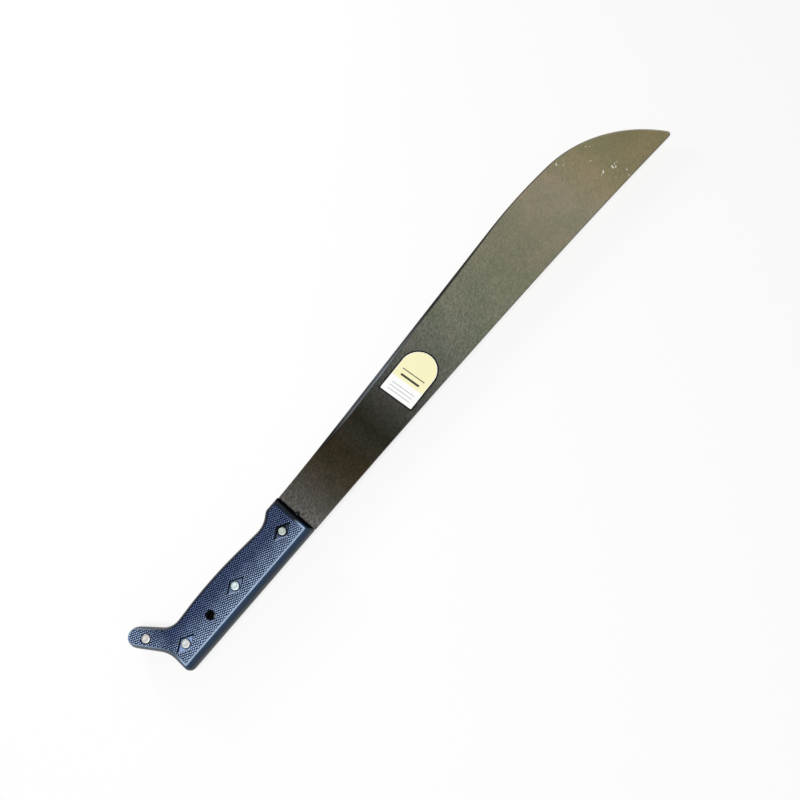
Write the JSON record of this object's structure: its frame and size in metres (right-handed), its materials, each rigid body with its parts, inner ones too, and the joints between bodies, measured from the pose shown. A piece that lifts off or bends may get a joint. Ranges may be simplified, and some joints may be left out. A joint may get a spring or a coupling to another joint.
{
  "type": "machete",
  "caption": "Machete with a long broad blade that sweeps up to a full curved belly, a ground cutting edge, and a riveted chequered plastic handle with a hooked beak and a lanyard hole.",
  "frame": {"origin": "on the axis of the lanyard hole, half-way through the handle, which is the mid-plane of the blade", "axes": "+X from the handle to the blade's tip, +Y from the blade's back towards its cutting edge, +Z square to the blade, out of the side with the label"},
  "size_m": [0.6172, 0.0687, 0.022],
  "materials": {
    "blade_steel": "carbon steel, brushed along the blade under a thin coat of clear lacquer",
    "handle_plastic": "moulded polypropylene, navy blue, fine diamond chequering with smooth rolled sides",
    "label_film": "printed adhesive film, cream and white fields with a thin dark outline",
    "rivet_aluminium": "set aluminium, satin",
    "washer_aluminium": "stamped aluminium, satin"
  },
  "bodies": {
    "root": {"blade": "blade_steel", "front_scale": "handle_plastic", "rear_scale": "handle_plastic", "label": "label_film", "rivet_front": "rivet_aluminium", "rivet_middle": "rivet_aluminium", "rivet_rear": "rivet_aluminium", "rivet_beak": "rivet_aluminium", "washer_front": "washer_aluminium", "washer_middle": "washer_aluminium", "washer_rear": "washer_aluminium", "washer_beak": "washer_aluminium"}
  },
  "joints": []
}
